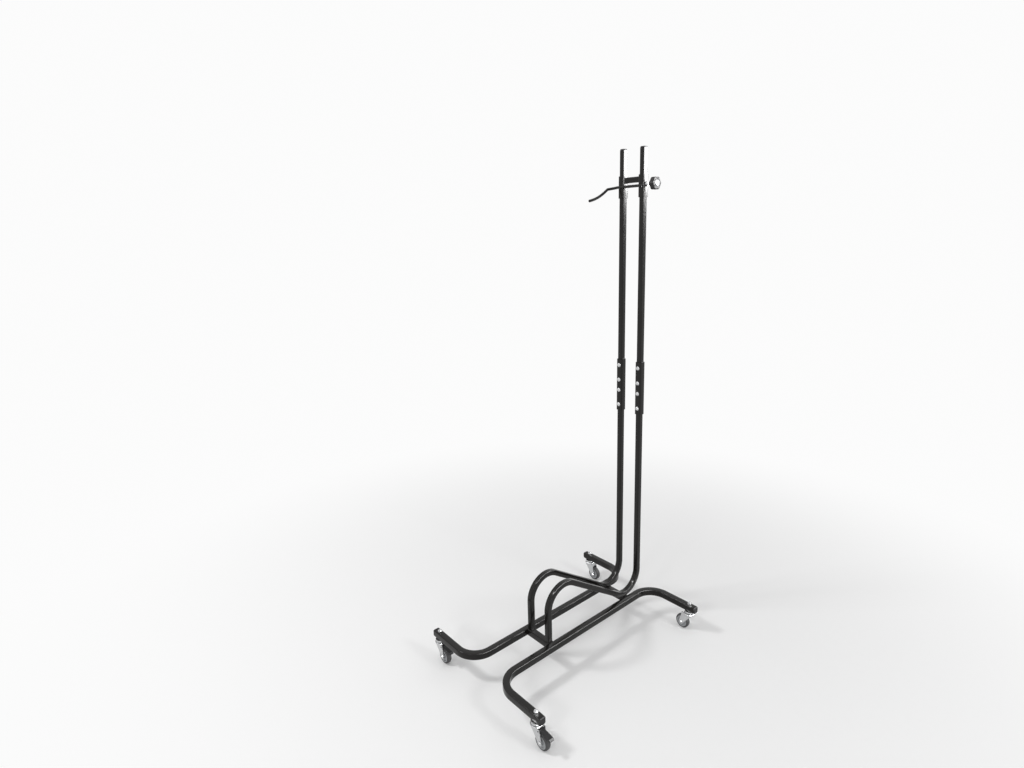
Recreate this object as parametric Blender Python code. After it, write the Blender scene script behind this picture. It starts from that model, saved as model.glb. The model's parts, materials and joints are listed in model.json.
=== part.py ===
"""Bike stand: two bent base rails on swivel casters, two bent wheel guides that rise
into uprights, and a sliding wheel holder near the top. Metres, +Z up.

+X is the near side, -Y the front, where the wheel rolls in, +Y the rear.
"""
import math

import bmesh
import bpy
from mathutils import Matrix, Vector

# Gaps between pieces
FACE_GAP = 0.0003
RUN_GAP = 0.0002
BOLT_GAP = 0.0003

# Base: two rails bent into open frames, joined by two cross bars
RAIL_SIZE = 0.022
RAIL_WALL = 0.0018
RAIL_CORNER = 0.0028
RAIL_SPACING = 0.122
RAIL_HEIGHT = 0.088
FOOT_SPACING = 0.730
FOOT_END = 0.2595
BEND_RADIUS = 0.072
PLUG_FLANGE = 0.004
PLUG_DEPTH = 0.014

# Wheel guides and uprights
TUBE_SIZE = 0.018
TUBE_WALL = 0.0015
TUBE_CORNER = 0.0024
TUBE_SPACING = 0.082
LEG_Y = -0.132
UPRIGHT_Y = 0.3146
GUIDE_SLOPE = math.radians(32.6)
JOINT_HEIGHT = 0.860
TOP_HEIGHT = 1.643
CAP_HEIGHT = 0.004

# Sleeves over the joints of the uprights
SLEEVE_WALL = 0.0025
SLEEVE_LENGTH = 0.184
BOLT_INNER = 0.0185
BOLT_OUTER = 0.071
BOLT_RADIUS = 0.003
BOLT_HEAD_RADIUS = 0.0072
BOLT_HEAD_HEIGHT = 0.0038
BOLT_NUT_SIZE = 0.010
BOLT_NUT_HEIGHT = 0.005
BOLT_END = 0.0015

# Wheel holder
COLLAR_LENGTH = 0.070
COLLAR_DROP = 0.1155
COLLAR_HEIGHT = TOP_HEIGHT - COLLAR_DROP
HOLDER_BAR_OFFSET = 0.0205
HOOK_RADIUS = 0.0045
HOOK_OFFSET = 0.0
HOOK_REACH = 0.110
HOOK_DROP = 0.043
HOOK_BEND = 0.022
STUD_RADIUS = 0.004
STUD_OFFSET = 0.0045
STUD_NUT_SIZE = 0.013
STUD_NUT_HEIGHT = 0.0065
KNOB_STANDOFF = 0.010
KNOB_RADIUS = 0.021
KNOB_LOBES = 6
KNOB_LOBE_DEPTH = 0.0026
KNOB_THICKNESS = 0.017
KNOB_NECK_RADIUS = 0.009
KNOB_NECK_LENGTH = 0.009
KNOB_CAP_RADIUS = 0.011
KNOB_CAP_HEIGHT = 0.0016

# Casters
CASTER_X = 0.2375
CASTER_TRAIL = 0.025
WHEEL_RADIUS = 0.025
WHEEL_WIDTH = 0.018
TREAD_THICKNESS = 0.006
HUB_RECESS = 0.0035
WHEEL_SIDE_GAP = 0.0012
AXLE_RADIUS = 0.003
AXLE_HEAD_RADIUS = 0.0055
AXLE_HEAD_HEIGHT = 0.0032
FORK_SHEET = 0.0022
CROWN_RADIUS = 0.0185
CROWN_DROP = 0.0095
CROWN_THICKNESS = 0.0030
RACE_RADIUS = 0.0165
STEM_RADIUS = 0.004
STEM_END = 0.0025
STEM_NUT_SIZE = 0.013
STEM_NUT_HEIGHT = 0.0065
RIVET_RADIUS = 0.0075
RIVET_HEIGHT = 0.0022
PEDAL_WIDTH = 0.0165
PEDAL_THICKNESS = 0.0045
PEDAL_LENGTH = 0.043
PEDAL_PIN_RADIUS = 0.0018
PEDAL_PIVOT_X = 0.019
PEDAL_PIVOT_Z = 0.0585
PEDAL_SLOPE = math.radians(10)

CASTERS = (
    ("near_front", 1, -1, 0, True),
    ("near_rear", 1, 1, 180, False),
    ("far_front", -1, -1, 0, True),
    ("far_rear", -1, 1, 0, False),
)

# Sizes that follow from the ones above
GROUND = 0.0
FOOT_Y = FOOT_SPACING / 2
RAIL_X = RAIL_SPACING / 2
TUBE_X = TUBE_SPACING / 2
RAIL_TOP = RAIL_HEIGHT + RAIL_SIZE / 2
RAIL_BOTTOM = RAIL_HEIGHT - RAIL_SIZE / 2
SLEEVE_SIZE = TUBE_SIZE + 2 * (FACE_GAP + SLEEVE_WALL)
REAR_BAR_Y = UPRIGHT_Y - BEND_RADIUS
CROWN_TOP = RAIL_BOTTOM - CROWN_DROP
CROWN_BOTTOM = CROWN_TOP - CROWN_THICKNESS
FORK_INNER = WHEEL_WIDTH + 2 * WHEEL_SIDE_GAP
FORK_OUTER = FORK_INNER + 2 * FORK_SHEET


def clear_scene():
    for item in list(bpy.data.objects):
        bpy.data.objects.remove(item, do_unlink=True)


def material(name, colour, roughness, metallic):
    made = bpy.data.materials.new(name)
    made.use_nodes = True
    shader = made.node_tree.nodes["Principled BSDF"]
    shader.inputs["Base Color"].default_value = (*colour, 1)
    shader.inputs["Roughness"].default_value = roughness
    shader.inputs["Metallic"].default_value = metallic
    return made


def add_object(name, mesh_data, surface, parent=None, location=(0, 0, 0)):
    made = bpy.data.objects.new(name, mesh_data)
    bpy.context.scene.collection.objects.link(made)
    made.parent = parent
    made.location = location
    if surface is not None:
        mesh_data.materials.append(surface)
    return made


def mesh_from(name, bm, smooth=True):
    bmesh.ops.recalc_face_normals(bm, faces=bm.faces)
    mesh_data = bpy.data.meshes.new(name)
    bm.to_mesh(mesh_data)
    bm.free()
    if smooth:
        mesh_data.shade_smooth()
        mesh_data.set_sharp_from_angle(angle=math.radians(32))
    return mesh_data


def empty(name, location, turn=0.0, parent=None):
    made = bpy.data.objects.new(name, None)
    bpy.context.scene.collection.objects.link(made)
    made.parent = parent
    made.location = location
    made.rotation_euler = (0, 0, turn)
    return made


def rounded_square(size, corner, steps=1):
    """Points of a square with rounded corners, centred on zero."""
    half = size / 2 - corner
    points = []
    for quarter in range(4):
        start = quarter * math.pi / 2
        cx = half * (1 if quarter in (0, 3) else -1)
        cy = half * (1 if quarter in (0, 1) else -1)
        for step in range(steps + 1):
            angle = start + step * math.pi / 2 / steps
            points.append((cx + corner * math.cos(angle), cy + corner * math.sin(angle)))
    return points


def bent_path(corners, radius, steps):
    """Points and directions along straight runs joined by arcs of one radius."""
    stations = []
    count = len(corners)
    for index, corner in enumerate(corners):
        if index in (0, count - 1):
            other = corners[1] if index == 0 else corners[-2]
            direction = (other - corner if index == 0 else corner - other).normalized()
            stations.append((corner.copy(), direction))
            continue
        before = (corner - corners[index - 1]).normalized()
        after = (corners[index + 1] - corner).normalized()
        turn = before.angle(after)
        reach = radius * math.tan(turn / 2)
        start = corner - before * reach
        side = (after - before * before.dot(after)).normalized()
        for step in range(steps + 1):
            angle = turn * step / steps
            point = start + before * radius * math.sin(angle) + side * radius * (1 - math.cos(angle))
            stations.append((point, before * math.cos(angle) + side * math.sin(angle)))
    return stations


def swept_tube(name, stations, normal, size, corner, wall):
    """Square tube with open ends along a path that lies in one plane."""
    bm = bmesh.new()
    rings = []
    inner_corner = max(corner - wall, 0.0004)
    outline = rounded_square(size, corner), rounded_square(size - 2 * wall, inner_corner)
    for point, direction in stations:
        side = normal.cross(direction).normalized()
        rings.append([[bm.verts.new(point + normal * a + side * b) for a, b in line] for line in outline])
    count = len(outline[0])
    for here, there in zip(rings, rings[1:]):
        for line in (0, 1):
            for i in range(count):
                j = (i + 1) % count
                bm.faces.new((here[line][i], here[line][j], there[line][j], there[line][i]))
    for ring in (rings[0], rings[-1]):
        for i in range(count):
            j = (i + 1) % count
            bm.faces.new((ring[0][i], ring[0][j], ring[1][j], ring[1][i]))
    return mesh_from(name, bm)


def turned(name, profile, segments, axis="Z"):
    """Closed profile of radius and height points, turned about an axis."""
    bm = bmesh.new()
    rings = []
    for radius, height in profile:
        if radius < 1e-9:
            rings.append([bm.verts.new((0, 0, height))])
            continue
        ring = []
        for i in range(segments):
            angle = 2 * math.pi * i / segments
            ring.append(bm.verts.new((radius * math.cos(angle), radius * math.sin(angle), height)))
        rings.append(ring)
    closed = profile[0][0] > 1e-9
    pairs = list(zip(rings, rings[1:]))
    if closed:
        pairs.append((rings[-1], rings[0]))
    for here, there in pairs:
        for i in range(segments):
            j = (i + 1) % segments
            corners = [here[i % len(here)], here[j % len(here)], there[j % len(there)], there[i % len(there)]]
            unique = list(dict.fromkeys(corners))
            bm.faces.new(unique)
    if axis == "X":
        bmesh.ops.rotate(bm, verts=bm.verts, matrix=Matrix.Rotation(math.pi / 2, 3, "Y"))
    if axis == "Y":
        bmesh.ops.rotate(bm, verts=bm.verts, matrix=Matrix.Rotation(-math.pi / 2, 3, "X"))
    return mesh_from(name, bm)


def extruded(name, outline, low, high, axis="Y", bevel=0.0):
    """Closed outline of two coordinates, extruded from low to high."""
    bm = bmesh.new()
    ends = []
    for level in (low, high):
        if axis == "Y":
            ends.append([bm.verts.new((a, level, b)) for a, b in outline])
        elif axis == "X":
            ends.append([bm.verts.new((level, a, b)) for a, b in outline])
        else:
            ends.append([bm.verts.new((a, b, level)) for a, b in outline])
    bm.faces.new(ends[0])
    bm.faces.new(ends[1][::-1])
    count = len(outline)
    for i in range(count):
        j = (i + 1) % count
        bm.faces.new((ends[0][i], ends[0][j], ends[1][j], ends[1][i]))
    bmesh.ops.recalc_face_normals(bm, faces=bm.faces)
    if bevel:
        rim = [edge for edge in bm.edges if all(v in ends[0] for v in edge.verts) or all(v in ends[1] for v in edge.verts)]
        bmesh.ops.bevel(bm, geom=rim, offset=bevel, segments=2, profile=0.5, affect="EDGES")
    return mesh_from(name, bm)


def joined(name, meshes, smooth=True):
    """Separate closed bodies kept together in one mesh."""
    bm = bmesh.new()
    for mesh_data, offset in meshes:
        start = len(bm.verts)
        bm.from_mesh(mesh_data)
        bm.verts.ensure_lookup_table()
        bmesh.ops.translate(bm, verts=bm.verts[start:], vec=offset)
    return mesh_from(name, bm, smooth)


def polygon(sides, radius, turn=0.0):
    return [(radius * math.cos(turn + 2 * math.pi * i / sides), radius * math.sin(turn + 2 * math.pi * i / sides))
            for i in range(sides)]


def boolean(target, tool, operation):
    tool.hide_render = True
    tool.display_type = "WIRE"
    modifier = target.modifiers.new(tool.name, "BOOLEAN")
    modifier.operation = operation
    modifier.object = tool


def tool_object(name, mesh_data, parent=None, location=(0, 0, 0)):
    made = add_object(name, mesh_data, None, parent, location)
    made.hide_render = True
    made.display_type = "WIRE"
    return made


def pin_profile(radius, low, high):
    return [(0, low), (radius, low), (radius, high), (0, high)]


def hex_nut(name, across, height, bore, axis="Z"):
    """Hexagon nut from zero to its height, with a bore."""
    corner = across / math.sqrt(3)
    bm = bmesh.new()
    rings = []
    sides = 12
    for radius_kind, level in (("bore", 0), ("hex", 0), ("hex", height), ("bore", height)):
        ring = []
        for i in range(sides):
            angle = 2 * math.pi * i / sides
            reach = bore if radius_kind == "bore" else corner * (1 if i % 2 == 0 else math.cos(math.pi / 6))
            ring.append(bm.verts.new((reach * math.cos(angle), reach * math.sin(angle), level)))
        rings.append(ring)
    for here, there in zip(rings, rings[1:] + rings[:1]):
        for i in range(sides):
            j = (i + 1) % sides
            bm.faces.new((here[i], here[j], there[j], there[i]))
    if axis == "X":
        bmesh.ops.rotate(bm, verts=bm.verts, matrix=Matrix.Rotation(math.pi / 2, 3, "Y"))
    if axis == "Y":
        bmesh.ops.rotate(bm, verts=bm.verts, matrix=Matrix.Rotation(-math.pi / 2, 3, "X"))
    return mesh_from(name, bm)


def plug(name, size, corner, wall, axis):
    """End plug: a flange of the tube's size with a spigot inside the tube, pointing out along +axis."""
    spigot = size - 2 * wall - 2 * FACE_GAP
    inner_corner = max(corner - wall, 0.0004)
    sections = [
        (rounded_square(spigot, inner_corner), -PLUG_DEPTH),
        (rounded_square(spigot, inner_corner), FACE_GAP),
        (rounded_square(size, corner), FACE_GAP),
        (rounded_square(size, corner), FACE_GAP + PLUG_FLANGE * 0.6),
        (rounded_square(size - 0.002, corner), FACE_GAP + PLUG_FLANGE),
    ]
    bm = bmesh.new()
    rings = []
    for outline, level in sections:
        if axis == "Z":
            rings.append([bm.verts.new((a, b, level)) for a, b in outline])
        else:
            rings.append([bm.verts.new((level, a, b)) for a, b in outline])
    count = len(rings[0])
    for here, there in zip(rings, rings[1:]):
        for i in range(count):
            j = (i + 1) % count
            bm.faces.new((here[i], here[j], there[j], there[i]))
    bm.faces.new(rings[0][::-1])
    bm.faces.new(rings[-1])
    return mesh_from(name, bm)


def build_base(paint, plastic, zinc):
    rail_normal = Vector((0, 0, 1))
    holes = []
    for side_name, side in (("near", 1), ("far", -1)):
        foot = side * FOOT_END
        rail = side * RAIL_X
        corners = [Vector((foot, -FOOT_Y, RAIL_HEIGHT)), Vector((rail, -FOOT_Y, RAIL_HEIGHT)),
                   Vector((rail, FOOT_Y, RAIL_HEIGHT)), Vector((foot, FOOT_Y, RAIL_HEIGHT))]
        stations = bent_path(corners, BEND_RADIUS, 7)
        mesh_data = swept_tube("base_rail_" + side_name, stations, rail_normal, RAIL_SIZE, RAIL_CORNER, RAIL_WALL)
        rail_object = add_object("base_rail_" + side_name, mesh_data, paint)
        drills = [(turned("drill", pin_profile(STEM_RADIUS + BOLT_GAP, RAIL_BOTTOM - 0.01, RAIL_TOP + 0.01), 16),
                   Vector((side * CASTER_X, end * FOOT_Y, 0))) for end in (-1, 1)]
        drill = tool_object("cut_stem_holes_" + side_name, joined("cut_stem_holes_" + side_name, drills))
        boolean(rail_object, drill, "DIFFERENCE")
        for end_name, end in (("front", -1), ("rear", 1)):
            plug_object = add_object("foot_plug_%s_%s" % (side_name, end_name),
                                     plug("foot_plug", RAIL_SIZE, RAIL_CORNER, RAIL_WALL, "X"), plastic,
                                     location=(foot, end * FOOT_Y, RAIL_HEIGHT))
            if side < 0:
                plug_object.rotation_euler = (0, 0, math.pi)
    reach = RAIL_X - RAIL_SIZE / 2 - FACE_GAP
    for bar_name, y in (("cross_bar_front", LEG_Y), ("cross_bar_rear", REAR_BAR_Y)):
        stations = [(Vector((-reach, y, RAIL_HEIGHT)), Vector((1, 0, 0))), (Vector((reach, y, RAIL_HEIGHT)), Vector((1, 0, 0)))]
        add_object(bar_name, swept_tube(bar_name, stations, rail_normal, RAIL_SIZE, RAIL_CORNER, RAIL_WALL), paint)
    for name, side, end, _, _ in CASTERS:
        nut = hex_nut("stem_nut", STEM_NUT_SIZE, STEM_NUT_HEIGHT, STEM_RADIUS + BOLT_GAP)
        add_object("stem_nut_" + name, nut, zinc, location=(side * CASTER_X, end * FOOT_Y, RAIL_TOP + FACE_GAP))


def guide_corners(x):
    """Corners of a wheel guide: front leg, sloping run, upright up to the joint."""
    low = RAIL_TOP + FACE_GAP + TUBE_SIZE / 2
    reach = BEND_RADIUS * math.tan((math.pi / 2 + GUIDE_SLOPE) / 2)
    rear_corner = low + BEND_RADIUS - reach
    front_corner = rear_corner + (UPRIGHT_Y - LEG_Y) * math.tan(GUIDE_SLOPE)
    return [Vector((x, LEG_Y, RAIL_TOP + FACE_GAP)), Vector((x, LEG_Y, front_corner)),
            Vector((x, UPRIGHT_Y, rear_corner)), Vector((x, UPRIGHT_Y, JOINT_HEIGHT))]


def bolt_drill(name, offsets):
    """Cutters along Y for the bolts of a sleeve."""
    drills = [(turned("drill", pin_profile(BOLT_RADIUS + BOLT_GAP, -SLEEVE_SIZE, SLEEVE_SIZE), 10, "Y"), Vector((0, 0, z)))
              for z in offsets]
    return joined(name, drills)


def build_uprights(paint, plastic, zinc):
    normal = Vector((1, 0, 0))
    offsets = (-BOLT_OUTER, -BOLT_INNER, BOLT_INNER, BOLT_OUTER)
    for side_name, side in (("near", 1), ("far", -1)):
        x = side * TUBE_X
        drill = tool_object("cut_bolt_holes_" + side_name, bolt_drill("cut_bolt_holes_" + side_name, offsets),
                            location=(x, UPRIGHT_Y, JOINT_HEIGHT))
        stations = bent_path(guide_corners(x), BEND_RADIUS, 9)
        guide = add_object("wheel_guide_" + side_name,
                           swept_tube("wheel_guide", stations, normal, TUBE_SIZE, TUBE_CORNER, TUBE_WALL), paint)
        up = Vector((0, 0, 1))
        stations = [(Vector((x, UPRIGHT_Y, JOINT_HEIGHT + FACE_GAP)), up), (Vector((x, UPRIGHT_Y, TOP_HEIGHT)), up)]
        upper = add_object("upper_tube_" + side_name,
                           swept_tube("upper_tube", stations, normal, TUBE_SIZE, TUBE_CORNER, TUBE_WALL), paint)
        half = SLEEVE_LENGTH / 2
        stations = [(Vector((x, UPRIGHT_Y, JOINT_HEIGHT - half)), up), (Vector((x, UPRIGHT_Y, JOINT_HEIGHT + half)), up)]
        sleeve = add_object("joint_sleeve_" + side_name,
                            swept_tube("joint_sleeve", stations, normal, SLEEVE_SIZE, TUBE_CORNER + SLEEVE_WALL, SLEEVE_WALL), paint)
        for piece in (guide, upper, sleeve):
            boolean(piece, drill, "DIFFERENCE")
        add_object("top_plug_" + side_name, plug("top_plug", TUBE_SIZE, TUBE_CORNER, TUBE_WALL, "Z"), plastic,
                   location=(x, UPRIGHT_Y, TOP_HEIGHT))
        face = SLEEVE_SIZE / 2 + FACE_GAP
        nut_face = face + BOLT_NUT_HEIGHT
        for number, z in enumerate(offsets, 1):
            head = [(0, -face - BOLT_HEAD_HEIGHT), (BOLT_HEAD_RADIUS * 0.62, -face - BOLT_HEAD_HEIGHT * 0.86),
                    (BOLT_HEAD_RADIUS, -face - BOLT_HEAD_HEIGHT * 0.3), (BOLT_HEAD_RADIUS, -face), (BOLT_RADIUS, -face),
                    (BOLT_RADIUS, face), (BOLT_NUT_SIZE / 2, face), (BOLT_NUT_SIZE / 2, nut_face), (BOLT_RADIUS, nut_face),
                    (BOLT_RADIUS, nut_face + BOLT_END), (0, nut_face + BOLT_END)]
            add_object("sleeve_bolt_%s_%d" % (side_name, number), turned("sleeve_bolt", head, 10, "Y"), zinc,
                       location=(x, UPRIGHT_Y, JOINT_HEIGHT + z))


def hook_points():
    """Centre line of the hook rod: across the collars' front faces, then forward and down on the far side."""
    front = UPRIGHT_Y - SLEEVE_SIZE / 2 - FACE_GAP - HOOK_RADIUS
    height = COLLAR_HEIGHT + HOOK_OFFSET
    near_end = TUBE_X + SLEEVE_SIZE / 2 - HOOK_RADIUS
    far_side = -(TUBE_X + SLEEVE_SIZE / 2)
    points = [Vector((near_end, front, height)), Vector((far_side, front, height))]
    steps = 6
    for step in range(1, steps + 1):
        angle = math.pi / 2 * step / steps
        points.append(Vector((far_side - HOOK_BEND * math.sin(angle), front - HOOK_BEND * (1 - math.cos(angle)),
                              height - HOOK_DROP * 0.12 * step / steps)))
    start = points[-1]
    steps = 7
    for step in range(1, steps + 1):
        t = step / steps
        fall = HOOK_DROP * 0.88 * (t + 0.16 * math.sin(math.pi * t))
        points.append(Vector((start.x, start.y - (HOOK_REACH - HOOK_BEND) * t, start.z - fall)))
    return points


def build_hook(paint, parent, origin):
    curve = bpy.data.curves.new("hook_rod", "CURVE")
    curve.dimensions = "3D"
    curve.bevel_depth = HOOK_RADIUS
    curve.bevel_resolution = 2
    curve.use_fill_caps = True
    points = hook_points()
    spline = curve.splines.new("POLY")
    spline.points.add(len(points) - 1)
    for slot, point in zip(spline.points, points):
        slot.co = (*(point - origin), 1)
    add_object("hook_rod", curve, paint, parent)


def build_holder(paint, plastic, zinc, cap_surface):
    origin = Vector((0, UPRIGHT_Y, COLLAR_HEIGHT))
    carrier = empty("holder_axis", origin)
    up = Vector((0, 0, 1))
    half = COLLAR_LENGTH / 2
    stud_z = STUD_OFFSET
    for side_name, side in (("near", 1), ("far", -1)):
        x = side * TUBE_X
        stations = [(Vector((x, 0, -half)), up), (Vector((x, 0, half)), up)]
        collar = add_object("collar_" + side_name,
                            swept_tube("collar", stations, Vector((1, 0, 0)), SLEEVE_SIZE, TUBE_CORNER + SLEEVE_WALL, SLEEVE_WALL),
                            paint, carrier)
        if side > 0:
            bore = turned("cut_stud_hole", pin_profile(STUD_RADIUS + RUN_GAP, 0, SLEEVE_SIZE), 16, "X")
            boolean(collar, tool_object("cut_stud_hole", bore, carrier, (x, 0, stud_z)), "DIFFERENCE")
    reach = TUBE_X - SLEEVE_SIZE / 2 - FACE_GAP
    right = Vector((1, 0, 0))
    stations = [(Vector((-reach, 0, HOLDER_BAR_OFFSET)), right), (Vector((reach, 0, HOLDER_BAR_OFFSET)), right)]
    add_object("holder_bar", swept_tube("holder_bar", stations, up, TUBE_SIZE, TUBE_CORNER, TUBE_WALL), paint, carrier)
    build_hook(paint, carrier, origin)
    nut_x = TUBE_X + SLEEVE_SIZE / 2 + FACE_GAP
    add_object("clamp_nut", hex_nut("clamp_nut", STUD_NUT_SIZE, STUD_NUT_HEIGHT, STUD_RADIUS + RUN_GAP, "X"), zinc, carrier,
               (nut_x, 0, stud_z))
    knob_axis = empty("knob_axis", (0, 0, stud_z), parent=carrier)
    knob_x = nut_x + STUD_NUT_HEIGHT + KNOB_STANDOFF
    body_x = knob_x + KNOB_NECK_LENGTH
    stud_start = TUBE_X + TUBE_SIZE / 2 + FACE_GAP
    stud_end = body_x + KNOB_THICKNESS * 0.4
    add_object("knob_stud", turned("knob_stud", pin_profile(STUD_RADIUS, stud_start, stud_end), 16, "X"), zinc, knob_axis)
    count = KNOB_LOBES * 5
    outline = []
    for i in range(count):
        angle = 2 * math.pi * i / count
        radius = KNOB_RADIUS - KNOB_LOBE_DEPTH * (1 - math.cos(KNOB_LOBES * angle)) / 2
        outline.append((radius * math.cos(angle), radius * math.sin(angle)))
    knob = add_object("star_knob", extruded("star_knob", outline, body_x, body_x + KNOB_THICKNESS, "X", 0.0022), plastic, knob_axis)
    neck = turned("knob_neck", pin_profile(KNOB_NECK_RADIUS, knob_x, body_x + KNOB_THICKNESS / 2), 24, "X")
    boolean(knob, tool_object("add_knob_neck", neck, knob_axis), "UNION")
    bore = turned("cut_knob_bore", pin_profile(STUD_RADIUS + FACE_GAP, knob_x - 0.002, stud_end + FACE_GAP), 16, "X")
    boolean(knob, tool_object("cut_knob_bore", bore, knob_axis), "DIFFERENCE")
    face = body_x + KNOB_THICKNESS + FACE_GAP
    cap = [(0, face), (KNOB_CAP_RADIUS, face), (KNOB_CAP_RADIUS, face + KNOB_CAP_HEIGHT * 0.5),
           (KNOB_CAP_RADIUS * 0.8, face + KNOB_CAP_HEIGHT), (0, face + KNOB_CAP_HEIGHT)]
    add_object("knob_cap", turned("knob_cap", cap, 24, "X"), cap_surface, knob_axis)


def cheek_outline():
    """Side plate of a caster fork, from the crown down and back to the axle."""
    top = CROWN_BOTTOM + CROWN_THICKNESS / 2
    boss = 0.008
    points = [(-0.012, top), (-0.012, CROWN_BOTTOM - 0.004)]
    for step in range(7):
        angle = math.radians(205 + 180 * step / 6)
        points.append((CASTER_TRAIL + boss * math.cos(angle), WHEEL_RADIUS + boss * math.sin(angle)))
    points.append((PEDAL_PIVOT_X + 0.006, PEDAL_PIVOT_Z - 0.004))
    points.append((PEDAL_PIVOT_X + 0.005, top))
    return points


def build_caster(name, side, end, degrees, braked, surfaces):
    zinc, hub_plastic, tread_rubber, plastic = surfaces
    swivel = empty("swivel_axis_" + name, (side * CASTER_X, end * FOOT_Y, GROUND), math.radians(degrees))
    race_top = RAIL_BOTTOM - FACE_GAP
    race_low = CROWN_TOP + RUN_GAP
    rivet_top = CROWN_BOTTOM - RUN_GAP
    stem_top = RAIL_TOP + FACE_GAP + STEM_NUT_HEIGHT + STEM_END
    stem = [(0, rivet_top - RIVET_HEIGHT), (RIVET_RADIUS * 0.7, rivet_top - RIVET_HEIGHT), (RIVET_RADIUS, rivet_top),
            (STEM_RADIUS, rivet_top), (STEM_RADIUS, race_low), (RACE_RADIUS * 0.72, race_low),
            (RACE_RADIUS, race_low + (race_top - race_low) * 0.35), (RACE_RADIUS, race_top), (STEM_RADIUS, race_top),
            (STEM_RADIUS, stem_top), (0, stem_top)]
    add_object("caster_stem_" + name, turned("caster_stem", stem, 16), zinc, location=(side * CASTER_X, end * FOOT_Y, 0))
    bore = STEM_RADIUS + RUN_GAP
    crown = [(bore, CROWN_BOTTOM), (CROWN_RADIUS, CROWN_BOTTOM), (CROWN_RADIUS, CROWN_TOP - 0.0008),
             (CROWN_RADIUS - 0.0008, CROWN_TOP), (bore, CROWN_TOP)]
    fork = add_object("caster_fork_" + name, turned("caster_fork", crown, 20), zinc, swivel)
    for label, inner in (("left", FORK_INNER / 2), ("right", -FORK_OUTER / 2)):
        plate = extruded("cheek", cheek_outline(), inner, inner + FORK_SHEET, "Y")
        boolean(fork, tool_object("add_cheek_%s_%s" % (label, name), plate, swivel), "UNION")
    drill = turned("drill", pin_profile(AXLE_RADIUS + FACE_GAP, -FORK_OUTER, FORK_OUTER), 16, "Y")
    drills = [(drill, Vector((CASTER_TRAIL, 0, WHEEL_RADIUS)))]
    if braked:
        pin_hole = turned("drill", pin_profile(PEDAL_PIN_RADIUS + RUN_GAP, -FORK_OUTER, FORK_OUTER), 12, "Y")
        drills.append((pin_hole, Vector((PEDAL_PIVOT_X, 0, PEDAL_PIVOT_Z))))
    boolean(fork, tool_object("cut_axle_hole_" + name, joined("cut_axle_hole", drills), swivel), "DIFFERENCE")
    out = FORK_OUTER / 2 + FACE_GAP
    axle = [(0, -out - AXLE_HEAD_HEIGHT), (AXLE_HEAD_RADIUS * 0.75, -out - AXLE_HEAD_HEIGHT), (AXLE_HEAD_RADIUS, -out - 0.001),
            (AXLE_HEAD_RADIUS, -out), (AXLE_RADIUS, -out), (AXLE_RADIUS, out), (AXLE_HEAD_RADIUS, out),
            (AXLE_HEAD_RADIUS, out + 0.001), (AXLE_HEAD_RADIUS * 0.75, out + AXLE_HEAD_HEIGHT), (0, out + AXLE_HEAD_HEIGHT)]
    axle_place = (CASTER_TRAIL, 0, WHEEL_RADIUS)
    add_object("caster_axle_" + name, turned("caster_axle", axle, 12, "Y"), zinc, swivel, axle_place)
    half = WHEEL_WIDTH / 2
    hub_radius = WHEEL_RADIUS - TREAD_THICKNESS
    bore = AXLE_RADIUS + RUN_GAP
    hub = [(bore, -half), (AXLE_HEAD_RADIUS + 0.0015, -half), (AXLE_HEAD_RADIUS + 0.002, -half + HUB_RECESS),
           (hub_radius - 0.0035, -half + HUB_RECESS), (hub_radius - 0.003, -half + 0.0006), (hub_radius, -half + 0.0006),
           (hub_radius, half - 0.0006), (hub_radius - 0.003, half - 0.0006), (hub_radius - 0.0035, half - HUB_RECESS),
           (AXLE_HEAD_RADIUS + 0.002, half - HUB_RECESS), (AXLE_HEAD_RADIUS + 0.0015, half), (bore, half)]
    add_object("wheel_hub_" + name, turned("wheel_hub", hub, 20, "Y"), hub_plastic, swivel, axle_place)
    seat = hub_radius + FACE_GAP
    tread = [(seat, -half + 0.0006), (WHEEL_RADIUS - 0.003, -half + 0.0006), (WHEEL_RADIUS - 0.0008, -half + 0.003),
             (WHEEL_RADIUS, 0), (WHEEL_RADIUS - 0.0008, half - 0.003), (WHEEL_RADIUS - 0.003, half - 0.0006),
             (seat, half - 0.0006)]
    add_object("wheel_tread_" + name, turned("wheel_tread", tread, 28, "Y"), tread_rubber, swivel, axle_place)
    if braked:
        build_pedal(name, swivel, plastic)


def build_pedal(name, swivel, plastic):
    """Brake pedal above the wheel, on a pin through the fork's side plates."""
    along = Vector((math.cos(PEDAL_SLOPE), -math.sin(PEDAL_SLOPE)))
    across = Vector((math.sin(PEDAL_SLOPE), math.cos(PEDAL_SLOPE)))
    half = PEDAL_THICKNESS / 2
    shape = [(-0.005, -half * 0.7), (0.018, -half), (PEDAL_LENGTH - 0.006, -half), (PEDAL_LENGTH, -half - 0.002),
             (PEDAL_LENGTH + 0.001, half - 0.001), (PEDAL_LENGTH - 0.004, half + 0.001), (0.012, half), (-0.005, half * 0.7)]
    outline = [tuple(along * a + across * b) for a, b in shape]
    place = (PEDAL_PIVOT_X, 0, PEDAL_PIVOT_Z)
    pedal = add_object("brake_pedal_" + name, extruded("brake_pedal", outline, -PEDAL_WIDTH / 2, PEDAL_WIDTH / 2, "Y", 0.0006),
                       plastic, swivel, place)
    reach = FORK_OUTER / 2 + 0.0008
    pin = turned("pedal_pin", pin_profile(PEDAL_PIN_RADIUS, -reach, reach), 12, "Y")
    boolean(pedal, tool_object("add_pedal_pin_" + name, pin, swivel, place), "UNION")


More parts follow.
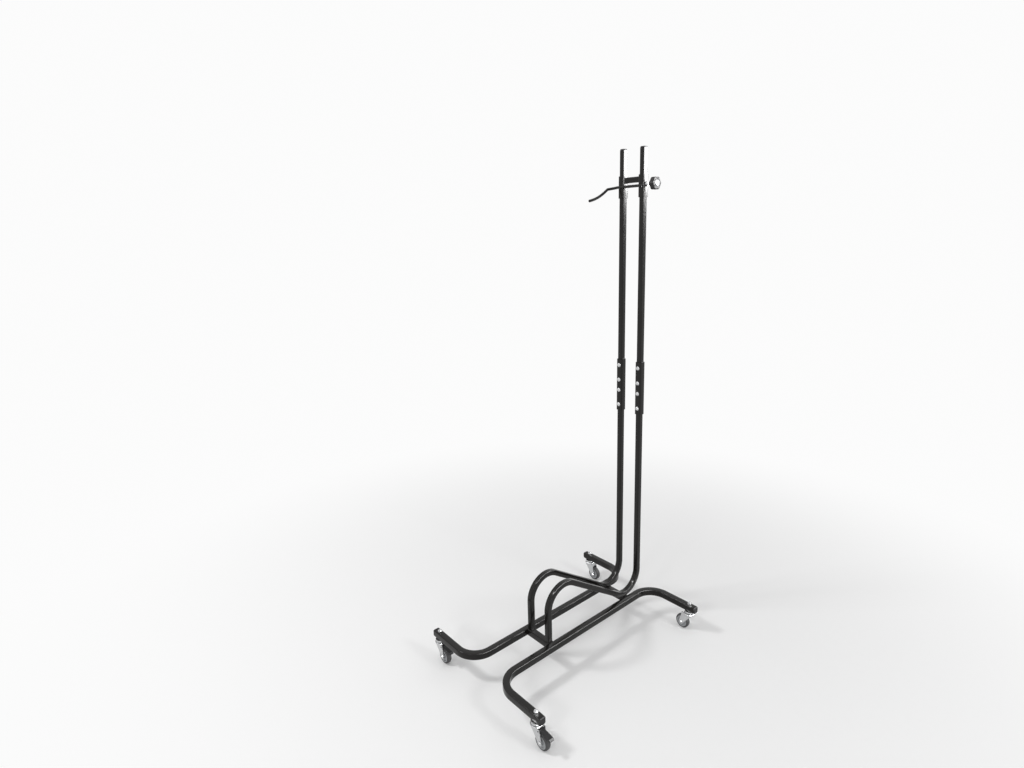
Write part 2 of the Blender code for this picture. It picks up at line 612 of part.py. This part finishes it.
def centre_on_ground():
    """Move the stand so that the origin lies under the middle of its outline."""
    bpy.context.view_layer.update()
    depsgraph = bpy.context.evaluated_depsgraph_get()
    low = Vector((math.inf,) * 3)
    high = -low
    for item in bpy.data.objects:
        if item.type == "EMPTY" or item.hide_render:
            continue
        shown = item.evaluated_get(depsgraph)
        mesh_data = shown.to_mesh()
        for vertex in mesh_data.vertices:
            point = shown.matrix_world @ vertex.co
            low = Vector(map(min, low, point))
            high = Vector(map(max, high, point))
        shown.to_mesh_clear()
    shift = Vector((-(low.x + high.x) / 2, -(low.y + high.y) / 2, -low.z))
    for item in bpy.data.objects:
        if item.parent is None:
            item.location += shift
    print("outline", [round(v, 5) for v in low], [round(v, 5) for v in high], "shift", [round(v, 6) for v in shift])


def main():
    clear_scene()
    paint = material("black_paint", (0.012, 0.012, 0.013), 0.28, 0.0)
    plastic = material("black_plastic", (0.020, 0.020, 0.021), 0.5, 0.0)
    zinc = material("zinc_steel", (0.72, 0.73, 0.74), 0.3, 1.0)
    cap_surface = material("grey_cap", (0.35, 0.36, 0.38), 0.35, 0.0)
    hub_plastic = material("grey_hub", (0.30, 0.31, 0.32), 0.45, 0.0)
    tread_rubber = material("dark_tread", (0.05, 0.05, 0.052), 0.7, 0.0)
    build_base(paint, plastic, zinc)
    build_uprights(paint, plastic, zinc)
    build_holder(paint, plastic, zinc, cap_surface)
    for name, side, end, degrees, braked in CASTERS:
        build_caster(name, side, end, degrees, braked, (zinc, hub_plastic, tread_rubber, plastic))
    centre_on_ground()


main()
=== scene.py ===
import json
import math

import bmesh
import bpy
from mathutils import Matrix, Vector


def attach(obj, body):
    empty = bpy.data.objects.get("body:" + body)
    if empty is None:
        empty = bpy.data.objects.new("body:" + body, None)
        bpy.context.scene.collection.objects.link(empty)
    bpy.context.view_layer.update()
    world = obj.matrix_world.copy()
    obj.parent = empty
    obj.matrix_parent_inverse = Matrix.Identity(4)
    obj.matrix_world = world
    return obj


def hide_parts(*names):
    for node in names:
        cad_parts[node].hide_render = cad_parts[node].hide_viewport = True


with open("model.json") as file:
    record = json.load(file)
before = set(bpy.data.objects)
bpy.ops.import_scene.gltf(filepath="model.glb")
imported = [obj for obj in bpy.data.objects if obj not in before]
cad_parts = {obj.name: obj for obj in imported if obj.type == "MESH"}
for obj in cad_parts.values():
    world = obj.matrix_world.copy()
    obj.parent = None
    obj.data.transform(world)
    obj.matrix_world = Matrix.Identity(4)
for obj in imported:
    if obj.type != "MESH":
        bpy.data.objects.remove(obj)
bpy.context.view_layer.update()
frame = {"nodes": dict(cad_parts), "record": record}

# The CAD's sizes, in metres, and the shift of its origin
SHIFT = Vector((-0.018124, 0, 0))
GAP = 0.0003
RAIL_SIZE, RAIL_WALL, RAIL_CORNER, RAIL_X, RAIL_Z = 0.022, 0.0018, 0.0028, 0.061, 0.088
FOOT_Y, FOOT_END, BEND = 0.365, 0.2595, 0.072
TUBE_SIZE, TUBE_WALL, TUBE_CORNER, TUBE_X = 0.018, 0.0015, 0.0024, 0.041
LEG_Y, UPRIGHT_Y, SLOPE = -0.132, 0.3146, math.radians(32.6)
JOINT_Z, TOP_Z = 0.860, 1.643
SLEEVE_SIZE, SLEEVE_WALL, SLEEVE_LENGTH = 0.0236, 0.0025, 0.184
COLLAR_Z, COLLAR_LENGTH, BAR_Z = 1.5275, 0.070, 1.548
WHEEL_RADIUS, WHEEL_WIDTH, TREAD, TRAIL, CASTER_X = 0.025, 0.018, 0.006, 0.025, 0.2375
# Each caster's name, side along X, end along Y and rest angle in degrees
CASTERS = (
    ("near_front", 1, -1, 0),
    ("near_rear", 1, 1, 180),
    ("far_front", -1, -1, 0),
    ("far_rear", -1, 1, 0),
)
RAIL_TOP = RAIL_Z + RAIL_SIZE / 2
REAR_BAR_Y = UPRIGHT_Y - BEND
UP, RIGHT = Vector((0, 0, 1)), Vector((1, 0, 0))

# Details that only the dressed model has, in metres
SLEEVE_CORNER = 0.0042
WELD_OFFSET = 0.0006
EDGE_ROUNDING, KNOB_ROUNDING = 0.0003, 0.0008
TYRE_SHOULDER, TYRE_CROWN, TYRE_SIDE = 0.0034, 0.0026, 0.0006


def surface(name, colour, rough, metal, bump, scale,
            coat=0.0, tint=0.25, rough_range=0.12, gloss=0.5):
    """Procedural material: broad colour drift, roughness drift and a fine bump."""
    made = bpy.data.materials.new(name)
    made.use_nodes = True
    nodes, links = made.node_tree.nodes, made.node_tree.links
    shader = nodes["Principled BSDF"]
    shader.inputs["Metallic"].default_value = metal
    shader.inputs["Coat Weight"].default_value = coat
    shader.inputs["Coat Roughness"].default_value = 0.05
    shader.inputs["Specular IOR Level"].default_value = gloss
    place = nodes.new("ShaderNodeTexCoord")
    broad = nodes.new("ShaderNodeTexNoise")
    broad.inputs["Scale"].default_value = 14
    broad.inputs["Detail"].default_value = 4
    fine = nodes.new("ShaderNodeTexNoise")
    fine.inputs["Scale"].default_value = scale
    fine.inputs["Detail"].default_value = 3
    for noise in (broad, fine):
        links.new(place.outputs["Object"], noise.inputs["Vector"])
    ramp = nodes.new("ShaderNodeValToRGB")
    ramp.color_ramp.elements[0].color = (*[c * (1 - tint) for c in colour], 1)
    ramp.color_ramp.elements[1].color = (*[min(1, c * (1 + tint)) for c in colour], 1)
    links.new(broad.outputs["Fac"], ramp.inputs["Fac"])
    links.new(ramp.outputs["Color"], shader.inputs["Base Color"])
    spread = nodes.new("ShaderNodeMapRange")
    spread.inputs["To Min"].default_value = max(0.02, rough - rough_range)
    spread.inputs["To Max"].default_value = min(1, rough + rough_range)
    links.new(broad.outputs["Fac"], spread.inputs["Value"])
    links.new(spread.outputs["Result"], shader.inputs["Roughness"])
    relief = nodes.new("ShaderNodeBump")
    relief.inputs["Strength"].default_value = bump
    relief.inputs["Distance"].default_value = 0.0004
    links.new(fine.outputs["Fac"], relief.inputs["Height"])
    links.new(relief.outputs["Normal"], shader.inputs["Normal"])
    return made


PAINT = surface("black_paint", (0.0070, 0.0064, 0.0056), 0.20, 0.0, 0.08, 900,
                coat=0.16, rough_range=0.06, gloss=0.17)
WELD = surface("painted_weld", (0.0075, 0.0068, 0.0060), 0.30, 0.0, 0.45, 380, coat=0.12, gloss=0.17)
ZINC = surface("zinc_steel", (0.58, 0.585, 0.59), 0.24, 1.0, 0.14, 700, tint=0.16)
PLASTIC = surface("black_plastic", (0.013, 0.013, 0.014), 0.45, 0.0, 0.30, 1500, gloss=0.25)
CAP = surface("grey_cap", (0.36, 0.37, 0.39), 0.32, 0.0, 0.12, 900, tint=0.08)
HUB = surface("grey_hub", (0.30, 0.31, 0.32), 0.45, 0.0, 0.20, 1100, tint=0.10)
RUBBER = surface("dark_tread", (0.062, 0.062, 0.064), 0.66, 0.0, 0.50, 800, tint=0.2, gloss=0.3)
BY_SLOT = {
    "black_paint": PAINT,
    "zinc_steel": ZINC,
    "black_plastic": PLASTIC,
    "grey_cap": CAP,
    "grey_hub": HUB,
    "dark_tread": RUBBER,
}


def dress(node, look, rounding):
    """Gives a CAD node its procedural material and a fine rounded edge."""
    item = frame["nodes"][node]
    for place in item.material_slots:
        place.material = look
    edge = item.modifiers.new("edge", "BEVEL")
    edge.width = rounding
    edge.segments = 2
    edge.limit_method = "ANGLE"
    edge.angle_limit = math.radians(38)


def finish_mesh(name, bm, look, node, body):
    """Makes the mesh a piece that rides on a body and may stand for a CAD node."""
    bmesh.ops.recalc_face_normals(bm, faces=bm.faces)
    data = bpy.data.meshes.new(name)
    bm.to_mesh(data)
    bm.free()
    data.shade_smooth()
    data.set_sharp_from_angle(angle=math.radians(40))
    data.materials.append(look)
    piece = bpy.data.objects.new(name, data)
    bpy.context.scene.collection.objects.link(piece)
    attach(piece, body)
    if node:
        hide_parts(node)
    return piece


def outline(size, corner, steps):
    """Points of a square with rounded corners, round its middle."""
    half = size / 2 - corner
    points = []
    for quarter in range(4):
        cx = half * (1 if quarter in (0, 3) else -1)
        cy = half * (1 if quarter in (0, 1) else -1)
        for step in range(steps + 1):
            angle = quarter * math.pi / 2 + step * math.pi / 2 / steps
            points.append((cx + corner * math.cos(angle), cy + corner * math.sin(angle)))
    return points


def path_along(corners, steps=36):
    """Points and directions along straight runs joined by bends of one radius."""
    stations = [(corners[0], (corners[1] - corners[0]).normalized())]
    for i in range(1, len(corners) - 1):
        before = (corners[i] - corners[i - 1]).normalized()
        after = (corners[i + 1] - corners[i]).normalized()
        turn = before.angle(after)
        start = corners[i] - before * BEND * math.tan(turn / 2)
        side = (after - before * before.dot(after)).normalized()
        for step in range(steps + 1):
            a = turn * step / steps
            stations.append((start + before * BEND * math.sin(a) + side * BEND * (1 - math.cos(a)),
                             before * math.cos(a) + side * math.sin(a)))
    stations.append((corners[-1], (corners[-1] - corners[-2]).normalized()))
    return stations


def tube(name, node, corners, normal, size, corner, wall, body="frame"):
    """Square tube with well rounded corners that stands for a CAD tube."""
    bm = bmesh.new()
    lines = outline(size, corner, 5), outline(size - 2 * wall, max(corner - wall, 0.0005), 5)
    rings = []
    for point, direction in path_along(corners):
        side = normal.cross(direction).normalized()
        centre = point + SHIFT
        rings.append([[bm.verts.new(centre + normal * a + side * b) for a, b in line]
                      for line in lines])
    count = len(lines[0])
    for here, there in zip(rings, rings[1:]):
        for line in (0, 1):
            for i in range(count):
                j = (i + 1) % count
                bm.faces.new((here[line][i], here[line][j], there[line][j], there[line][i]))
    for ring in (rings[0], rings[-1]):
        for i in range(count):
            j = (i + 1) % count
            bm.faces.new((ring[0][i], ring[0][j], ring[1][j], ring[1][i]))
    return finish_mesh(name, bm, PAINT, node, body)


def weld(name, centre, normal, size, body="frame", gauge=0.0011):
    """Rippled weld bead round the end of a square tube."""
    across = Vector((1, 0, 0)) if abs(normal.x) < 0.5 else Vector((0, 1, 0))
    other = normal.cross(across)
    bm = bmesh.new()
    loop = []
    for a, b in outline(size, 0.0022, 3):
        loop.append(Vector(centre) + SHIFT + across * a + other * b)
    points = []
    for i, point in enumerate(loop):
        following = loop[(i + 1) % len(loop)]
        cuts = max(1, round((following - point).length / 0.0011))
        points += [point.lerp(following, k / cuts) for k in range(cuts)]
    rings = []
    middle = Vector(centre) + SHIFT
    for i, point in enumerate(points):
        radius = gauge * (1 + 0.13 * math.sin(i * 2.1))
        out = (point - middle).normalized()
        rings.append([bm.verts.new(point + (out * math.cos(t) + normal * math.sin(t)) * radius)
                      for t in [2 * math.pi * k / 8 for k in range(8)]])
    for here, there in zip(rings, rings[1:] + rings[:1]):
        for k in range(8):
            bm.faces.new((here[k], here[(k + 1) % 8], there[(k + 1) % 8], there[k]))
    return finish_mesh(name, bm, WELD, None, body)


def turned(name, node, profile, centre, degrees, look, body, segments=64):
    """Closed profile of radius and width, turned about a caster wheel's axle."""
    bm = bmesh.new()
    spin = Matrix.Rotation(math.radians(degrees), 3, "Z")
    middle = Vector(centre) + SHIFT
    angles = [2 * math.pi * k / segments for k in range(segments)]
    rings = []
    for radius, width in profile:
        ring = [Vector((radius * math.cos(a), width, radius * math.sin(a))) for a in angles]
        rings.append([bm.verts.new(middle + spin @ point) for point in ring])
    for here, there in zip(rings, rings[1:] + rings[:1]):
        for k in range(segments):
            bm.faces.new((here[k], here[(k + 1) % segments], there[(k + 1) % segments], there[k]))
    return finish_mesh(name, bm, look, node, body)


def wheel_guide_path(x):
    """Front leg, hump, sloping run, bend and lower upright, as one tube."""
    lowest = RAIL_TOP + GAP + TUBE_SIZE / 2
    rear_corner = lowest + BEND - BEND * math.tan((math.pi / 2 + SLOPE) / 2)
    front_corner = rear_corner + (UPRIGHT_Y - LEG_Y) * math.tan(SLOPE)
    return [
        Vector((x, LEG_Y, RAIL_TOP + GAP)),
        Vector((x, LEG_Y, front_corner)),
        Vector((x, UPRIGHT_Y, rear_corner)),
        Vector((x, UPRIGHT_Y, JOINT_Z)),
    ]


def upright_piece(name, node, x, bottom, top, is_sleeve, body):
    """Straight tube on the line of an upright."""
    shape = (SLEEVE_SIZE, SLEEVE_CORNER, SLEEVE_WALL) if is_sleeve else (TUBE_SIZE, TUBE_CORNER, TUBE_WALL)
    tube(name, node, [Vector((x, UPRIGHT_Y, bottom)), Vector((x, UPRIGHT_Y, top))], RIGHT, *shape, body)


def side_pieces(label, side):
    """Rail, wheel guide, upright, sleeve, collar and welds of one side."""
    rail, foot, x = side * RAIL_X, side * FOOT_END, side * TUBE_X
    rail_path = [Vector((foot, -FOOT_Y, RAIL_Z)), Vector((rail, -FOOT_Y, RAIL_Z)),
                 Vector((rail, FOOT_Y, RAIL_Z)), Vector((foot, FOOT_Y, RAIL_Z))]
    tube("rail_" + label, "base_rail_" + label, rail_path, UP, RAIL_SIZE, RAIL_CORNER, RAIL_WALL)
    tube("guide_" + label, "wheel_guide_" + label, wheel_guide_path(x), RIGHT,
         TUBE_SIZE, TUBE_CORNER, TUBE_WALL)
    upright_piece("upper_" + label, "upper_tube_" + label, x, JOINT_Z + GAP, TOP_Z, False, "frame")
    upright_piece("sleeve_" + label, "joint_sleeve_" + label, x,
                  JOINT_Z - SLEEVE_LENGTH / 2, JOINT_Z + SLEEVE_LENGTH / 2, True, "frame")
    upright_piece("holder_collar_" + label, "collar_" + label, x,
                  COLLAR_Z - COLLAR_LENGTH / 2, COLLAR_Z + COLLAR_LENGTH / 2, True, "holder")
    weld("weld_leg_" + label, (x, LEG_Y, RAIL_TOP + 0.0004), UP, TUBE_SIZE)
    rail_face = side * (RAIL_X - RAIL_SIZE / 2 - WELD_OFFSET)
    for bar, y in (("front", LEG_Y), ("rear", REAR_BAR_Y)):
        weld("weld_bar_%s_%s" % (bar, label), (rail_face, y, RAIL_Z), RIGHT, RAIL_SIZE - 0.002)
    collar_face = side * (TUBE_X - SLEEVE_SIZE / 2 - WELD_OFFSET)
    weld("weld_holder_" + label, (collar_face, UPRIGHT_Y, BAR_Z), RIGHT, TUBE_SIZE - 0.001, "holder")


def across(reach, y, z):
    return [Vector((-reach, y, z)), Vector((reach, y, z))]


def bars():
    """The two cross bars of the base and the holder's bar."""
    reach = RAIL_X - RAIL_SIZE / 2 - GAP
    for bar, y in (("front", LEG_Y), ("rear", REAR_BAR_Y)):
        tube("bar_" + bar, "cross_bar_" + bar, across(reach, y, RAIL_Z), UP,
             RAIL_SIZE, RAIL_CORNER, RAIL_WALL)
    reach = TUBE_X - SLEEVE_SIZE / 2 - GAP
    tube("holder_cross_bar", "holder_bar", across(reach, UPRIGHT_Y, BAR_Z), UP,
         TUBE_SIZE, TUBE_CORNER, TUBE_WALL, "holder")


def tyre_profile():
    """Half round tread over flat sides, as radius and width."""
    half = WHEEL_WIDTH / 2
    inner, shoulder = WHEEL_RADIUS - TREAD + GAP, WHEEL_RADIUS - TYRE_SHOULDER
    profile = [(inner, -half + TYRE_SIDE), (shoulder, -half + TYRE_SIDE)]
    for k in range(9):
        t = -1 + k / 4
        profile.append((WHEEL_RADIUS - TYRE_CROWN * t ** 4, t * (half - 1.5 * TYRE_SIDE)))
    return profile + [(shoulder, half - TYRE_SIDE), (inner, half - TYRE_SIDE)]


side_pieces("near", 1)
side_pieces("far", -1)
bars()
for label, side, end, degrees in CASTERS:
    turn = math.radians(degrees)
    axle = (side * CASTER_X + TRAIL * math.cos(turn), end * FOOT_Y + TRAIL * math.sin(turn), WHEEL_RADIUS)
    turned("tread_" + label, "wheel_tread_" + label, tyre_profile(), axle, degrees,
           RUBBER, "wheel_" + label)

REDRAWN = ("base_rail", "wheel_guide", "upper_tube", "joint_sleeve", "collar", "cross_bar",
           "holder_bar", "wheel_tread")
for entry in frame["record"]["subparts"]:
    node = entry["node"]
    if not node.startswith(REDRAWN):
        rounding = KNOB_ROUNDING if node == "star_knob" else EDGE_ROUNDING
        dress(node, BY_SLOT[entry["material_slot"]], rounding)


def rays_to_white(nodes, links):
    """One where a ray comes from the camera, a gloss or a clear body, else nothing."""
    kind = nodes.new("ShaderNodeLightPath")
    seen = kind.outputs["Is Camera Ray"]
    for other in ("Is Glossy Ray", "Is Transmission Ray"):
        either = nodes.new("ShaderNodeMath")
        either.operation = "MAXIMUM"
        links.new(seen, either.inputs[0])
        links.new(kind.outputs[other], either.inputs[1])
        seen = either.outputs[0]
    return seen


def pale_floor():
    """Pale floor that runs out into plain white away from the stand."""
    made = bpy.data.materials.new("pale_floor")
    made.use_nodes = True
    nodes, links = made.node_tree.nodes, made.node_tree.links
    shader = nodes["Principled BSDF"]
    shader.inputs["Base Color"].default_value = (0.87, 0.87, 0.87, 1)
    shader.inputs["Roughness"].default_value = 0.9
    shader.inputs["Specular IOR Level"].default_value = 0.1
    place = nodes.new("ShaderNodeNewGeometry")
    distance = nodes.new("ShaderNodeVectorMath")
    distance.operation = "LENGTH"
    links.new(place.outputs["Position"], distance.inputs[0])
    fade = nodes.new("ShaderNodeMapRange")
    fade.interpolation_type = "SMOOTHSTEP"
    fade.inputs["From Min"].default_value = 0.5
    fade.inputs["From Max"].default_value = 2.2
    links.new(distance.outputs["Value"], fade.inputs["Value"])
    share = nodes.new("ShaderNodeMath")
    share.operation = "MULTIPLY"
    links.new(fade.outputs["Result"], share.inputs[0])
    links.new(rays_to_white(nodes, links), share.inputs[1])
    white = nodes.new("ShaderNodeEmission")
    white.inputs["Strength"].default_value = 0.97
    mixed = nodes.new("ShaderNodeMixShader")
    links.new(share.outputs[0], mixed.inputs["Fac"])
    links.new(shader.outputs["BSDF"], mixed.inputs[1])
    links.new(white.outputs["Emission"], mixed.inputs[2])
    links.new(mixed.outputs["Shader"], nodes["Material Output"].inputs["Surface"])
    return made


floor_data = bpy.data.meshes.new("floor")
floor_data.from_pydata([(-30, -30, 0), (30, -30, 0), (30, 30, 0), (-30, 30, 0)], [], [(0, 1, 2, 3)])
floor_data.materials.append(pale_floor())
floor = bpy.data.objects.new("floor", floor_data)
bpy.context.scene.collection.objects.link(floor)

world = bpy.data.worlds.new("studio")
world.use_nodes = True
world_nodes, world_links = world.node_tree.nodes, world.node_tree.links
level = world_nodes.new("ShaderNodeMapRange")
level.inputs["To Min"].default_value = 0.62
level.inputs["To Max"].default_value = 0.97
world_links.new(rays_to_white(world_nodes, world_links), level.inputs["Value"])
world_nodes["Background"].inputs["Color"].default_value = (1, 1, 1, 1)
world_links.new(level.outputs["Result"], world_nodes["Background"].inputs["Strength"])
bpy.context.scene.world = world


def area_light(name, place, target, size, power):
    data = bpy.data.lights.new(name, "AREA")
    data.shape = "SQUARE"
    data.size = size
    data.energy = power
    item = bpy.data.objects.new(name, data)
    item.location = place
    item.rotation_euler = (Vector(target) - Vector(place)).to_track_quat("-Z", "Y").to_euler()
    bpy.context.scene.collection.objects.link(item)


area_light("key", (-1.6, -1.9, 3.0), (0, 0, 0.5), 0.55, 40)
area_light("side", (2.7, 0.5, 2.2), (0, 0, 0.6), 0.60, 16)
area_light("front", (1.0, -3.0, 1.8), (0, 0, 0.5), 0.40, 14)
# Long lamp that acts on gloss only and draws the thin lines on the tubes' corners
strip = bpy.data.lights.new("strip", "AREA")
strip.shape = "RECTANGLE"
strip.size, strip.size_y = 0.8, 5.0
strip.energy = 520
strip_light = bpy.data.objects.new("strip", strip)
strip_light.location = (1.75, 1.4, 2.0)
strip_light.rotation_euler = (0, math.radians(48), 0)
strip_light.visible_diffuse = False
bpy.context.scene.collection.objects.link(strip_light)

# Camera solved from the photograph: angles in radians, focal length and middle in pixels
YAW, PITCH, ROLL = 0.858657, 0.220121, -0.025305
FOCAL, PICTURE_WIDTH = 608.963, 1024
EYE = Vector((1.312175, -1.308873, 1.304457 + RAIL_Z))
ahead_flat = Vector((-math.sin(YAW), math.cos(YAW), 0))
right = Vector((math.cos(YAW), math.sin(YAW), 0))
ahead = ahead_flat * math.cos(PITCH) - UP * math.sin(PITCH)
upward = ahead_flat * math.sin(PITCH) + UP * math.cos(PITCH)
camera_right = right * math.cos(ROLL) + upward * math.sin(ROLL)
camera_up = -right * math.sin(ROLL) + upward * math.cos(ROLL)
camera_turn = Matrix((camera_right, camera_up, -ahead)).transposed()
camera_data = bpy.data.cameras.new("camera")
camera_data.sensor_width = 36
camera_data.sensor_fit = "HORIZONTAL"
camera_data.lens = camera_data.sensor_width * FOCAL / PICTURE_WIDTH
camera_data.shift_x = -0.010875
camera_data.shift_y = -0.015260
camera = bpy.data.objects.new("camera", camera_data)
bpy.context.scene.collection.objects.link(camera)
camera.matrix_world = Matrix.Translation(EYE + SHIFT) @ camera_turn.to_4x4()
bpy.context.scene.camera = camera
bpy.context.scene.view_settings.view_transform = "Standard"
